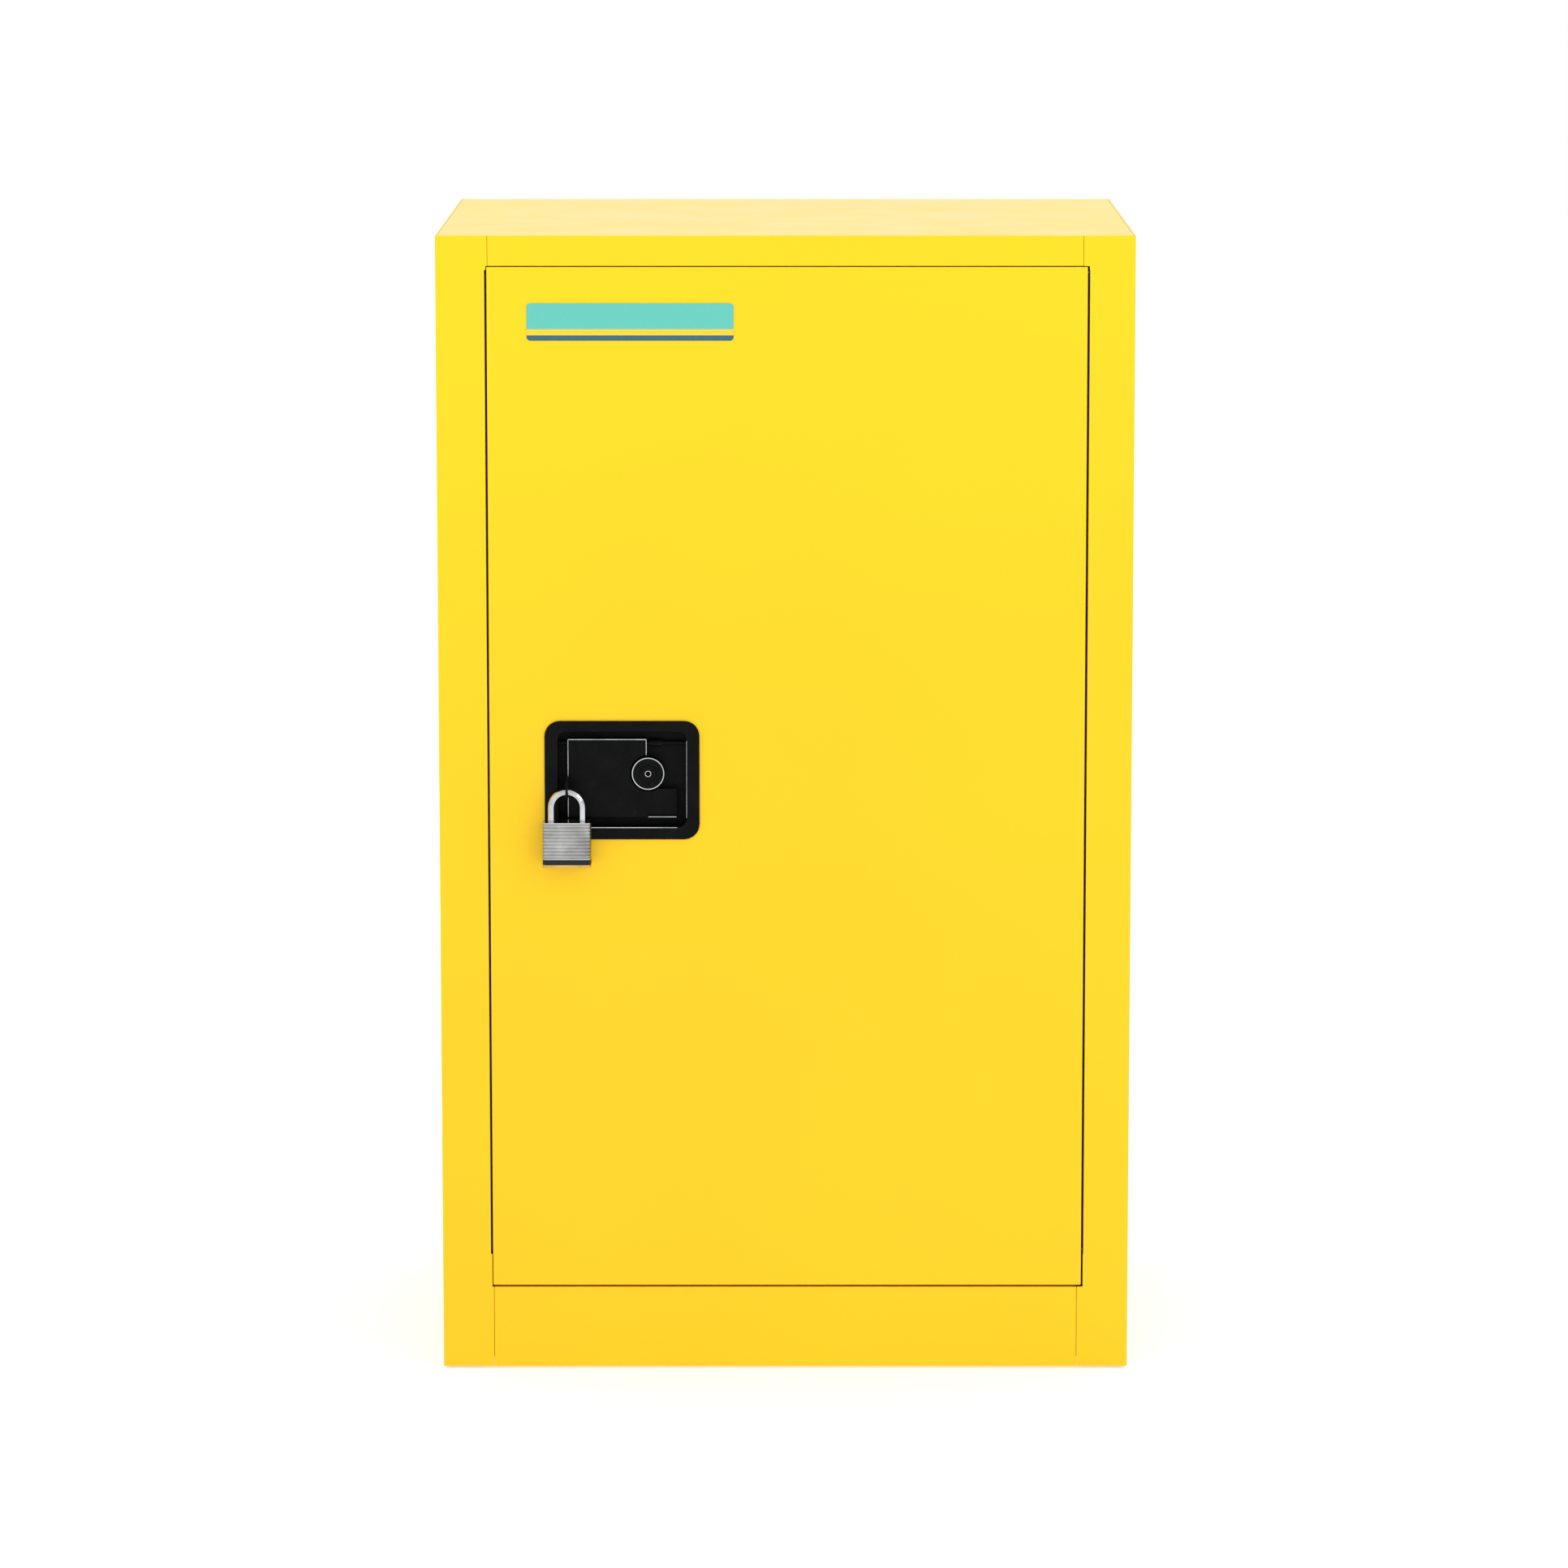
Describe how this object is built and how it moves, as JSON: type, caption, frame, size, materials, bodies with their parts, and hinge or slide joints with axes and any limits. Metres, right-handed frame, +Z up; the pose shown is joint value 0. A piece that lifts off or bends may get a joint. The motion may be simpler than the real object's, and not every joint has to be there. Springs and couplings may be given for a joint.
{
  "type": "flammable storage cabinet",
  "caption": "Upright yellow double-wall steel cabinet with one inset hinged door, a flush paddle handle with key lock and a hanging padlock, a shelf and a sump.",
  "frame": {"origin": "on the floor under the middle of the whole object's box", "axes": "+Z up, the door faces -Y, +X to the viewer's right"},
  "size_m": [0.59, 0.4976, 0.978],
  "materials": {
    "yellow_enamel": "powder coat, gloss",
    "black_enamel": "satin black",
    "galvanised_steel": "galvanised",
    "polished_chrome": "polished",
    "laminated_steel": "laminated, brushed",
    "brass_fitting": "machined",
    "teal_label": "printed film",
    "black_plastic": "moulded"
  },
  "bodies": {
    "cabinet": {"left_side_panel": "yellow_enamel", "right_side_panel": "yellow_enamel", "top_panel": "yellow_enamel", "plinth_panel": "yellow_enamel", "back_panel": "yellow_enamel", "base_panel": "yellow_enamel", "left_liner": "yellow_enamel", "right_liner": "yellow_enamel", "top_liner": "yellow_enamel", "back_liner": "yellow_enamel", "sump_tray": "yellow_enamel", "left_shelf_bracket": "galvanised_steel", "right_shelf_bracket": "galvanised_steel", "side_strike": "galvanised_steel", "top_strike": "galvanised_steel", "bottom_strike": "galvanised_steel", "lower_vent_tube": "yellow_enamel", "upper_vent_tube": "yellow_enamel", "lower_flame_arrester": "galvanised_steel", "upper_flame_arrester": "galvanised_steel", "ground_stud": "brass_fitting", "ground_washer": "galvanised_steel", "ground_nut": "brass_fitting", "hinge_frame_leaf": "yellow_enamel", "hinge_pin": "galvanised_steel"},
    "door": {"door_skin": "yellow_enamel", "door_inner_pan": "yellow_enamel", "hinge_door_leaf": "yellow_enamel", "latch_cover": "yellow_enamel", "cover_screw_left": "galvanised_steel", "cover_screw_right": "galvanised_steel", "label_plate": "teal_label", "handle_dish": "black_enamel", "paddle_pin": "black_enamel", "paddle_spring": "black_enamel", "lock_housing": "black_enamel", "latch_plate": "galvanised_steel", "cam_pivot": "galvanised_steel", "top_rod_guide": "galvanised_steel", "bottom_rod_guide": "galvanised_steel"},
    "paddle": {"paddle": "black_enamel"},
    "lock_plug": {"lock_plug": "black_enamel"},
    "latch_cam": {"latch_cam": "galvanised_steel"},
    "side_bolt": {"side_bolt": "galvanised_steel"},
    "top_rod": {"top_rod": "galvanised_steel"},
    "bottom_rod": {"bottom_rod": "galvanised_steel"},
    "padlock_shackle": {"padlock_shackle": "polished_chrome"},
    "padlock_case": {"padlock_case": "laminated_steel"},
    "padlock_plug": {"padlock_plug": "brass_fitting"},
    "shelf": {"shelf": "galvanised_steel"},
    "lower_vent_cap": {"lower_vent_cap": "black_plastic"},
    "upper_vent_cap": {"upper_vent_cap": "black_plastic"},
    "levelling_foot_front_left": {"levelling_foot_front_left": "galvanised_steel"},
    "levelling_foot_front_right": {"levelling_foot_front_right": "galvanised_steel"},
    "levelling_foot_rear_left": {"levelling_foot_rear_left": "galvanised_steel"},
    "levelling_foot_rear_right": {"levelling_foot_rear_right": "galvanised_steel"}
  },
  "joints": [
    {"name": "door_swing", "type": "hinge", "parent": "cabinet", "child": "door", "pos_m": [0.2513, -0.22185, 0.5], "axis": [0, 0, 1], "range_deg": [0, 105]},
    {"name": "paddle_pull", "type": "hinge", "parent": "door", "child": "paddle", "pos_m": [-0.15, -0.21325, 0.5447], "axis": [-1, 0, 0], "range_deg": [0, 40], "stiffness_Nm_per_rad": 0.5, "springref_deg": -20.05},
    {"name": "cam_turn", "type": "hinge", "parent": "door", "child": "latch_cam", "pos_m": [-0.155, -0.20325, 0.5215], "axis": [0, 1, 0], "range_deg": [0, 40]},
    {"name": "side_bolt_slide", "type": "slide", "parent": "door", "child": "side_bolt", "axis": [1, 0, 0], "range_m": [0, 0.01158]},
    {"name": "top_rod_slide", "type": "slide", "parent": "door", "child": "top_rod", "axis": [0, 0, -1], "range_m": [0, 0.01158]},
    {"name": "bottom_rod_slide", "type": "slide", "parent": "door", "child": "bottom_rod", "axis": [0, 0, 1], "range_m": [0, 0.01158]},
    {"name": "lock_turn", "type": "hinge", "parent": "door", "child": "lock_plug", "pos_m": [-0.1171, -0.22225, 0.5194], "axis": [0, 1, 0], "range_deg": [0, 90]},
    {"name": "padlock_swing", "type": "hinge", "parent": "paddle", "child": "padlock_shackle", "pos_m": [-0.1859, -0.23875, 0.5063], "axis": [1, 0, 0], "range_deg": [-100, 1.5]},
    {"name": "padlock_open", "type": "slide", "parent": "padlock_shackle", "child": "padlock_case", "axis": [0, 0, -1], "range_m": [0, 0.01]},
    {"name": "padlock_key_turn", "type": "hinge", "parent": "padlock_case", "child": "padlock_plug", "pos_m": [-0.1859, -0.23875, 0.4425], "axis": [0, 0, 1], "range_deg": [0, 90]},
    {"name": "shelf_lift", "type": "slide", "parent": "cabinet", "child": "shelf", "axis": [0, 0, 1], "range_m": [0, 0.05]},
    {"name": "lower_vent_cap_pull", "type": "slide", "parent": "cabinet", "child": "lower_vent_cap", "axis": [0, 1, 0], "range_m": [0, 0.03]},
    {"name": "upper_vent_cap_pull", "type": "slide", "parent": "cabinet", "child": "upper_vent_cap", "axis": [0, 1, 0], "range_m": [0, 0.03]},
    {"name": "levelling_foot_front_left_screw", "type": "slide", "parent": "cabinet", "child": "levelling_foot_front_left", "axis": [0, 0, -1], "range_m": [0, 0.02]},
    {"name": "levelling_foot_front_right_screw", "type": "slide", "parent": "cabinet", "child": "levelling_foot_front_right", "axis": [0, 0, -1], "range_m": [0, 0.02]},
    {"name": "levelling_foot_rear_left_screw", "type": "slide", "parent": "cabinet", "child": "levelling_foot_rear_left", "axis": [0, 0, -1], "range_m": [0, 0.02]},
    {"name": "levelling_foot_rear_right_screw", "type": "slide", "parent": "cabinet", "child": "levelling_foot_rear_right", "axis": [0, 0, -1], "range_m": [0, 0.02]}
  ],
  "couplings": [
    {"joint": "cam_turn", "follows": "paddle_pull", "ratio": 1},
    {"joint": "side_bolt_slide", "follows": "paddle_pull", "m_per_rad": 0.016573},
    {"joint": "top_rod_slide", "follows": "paddle_pull", "m_per_rad": 0.016573},
    {"joint": "bottom_rod_slide", "follows": "paddle_pull", "m_per_rad": 0.016573}
  ]
}
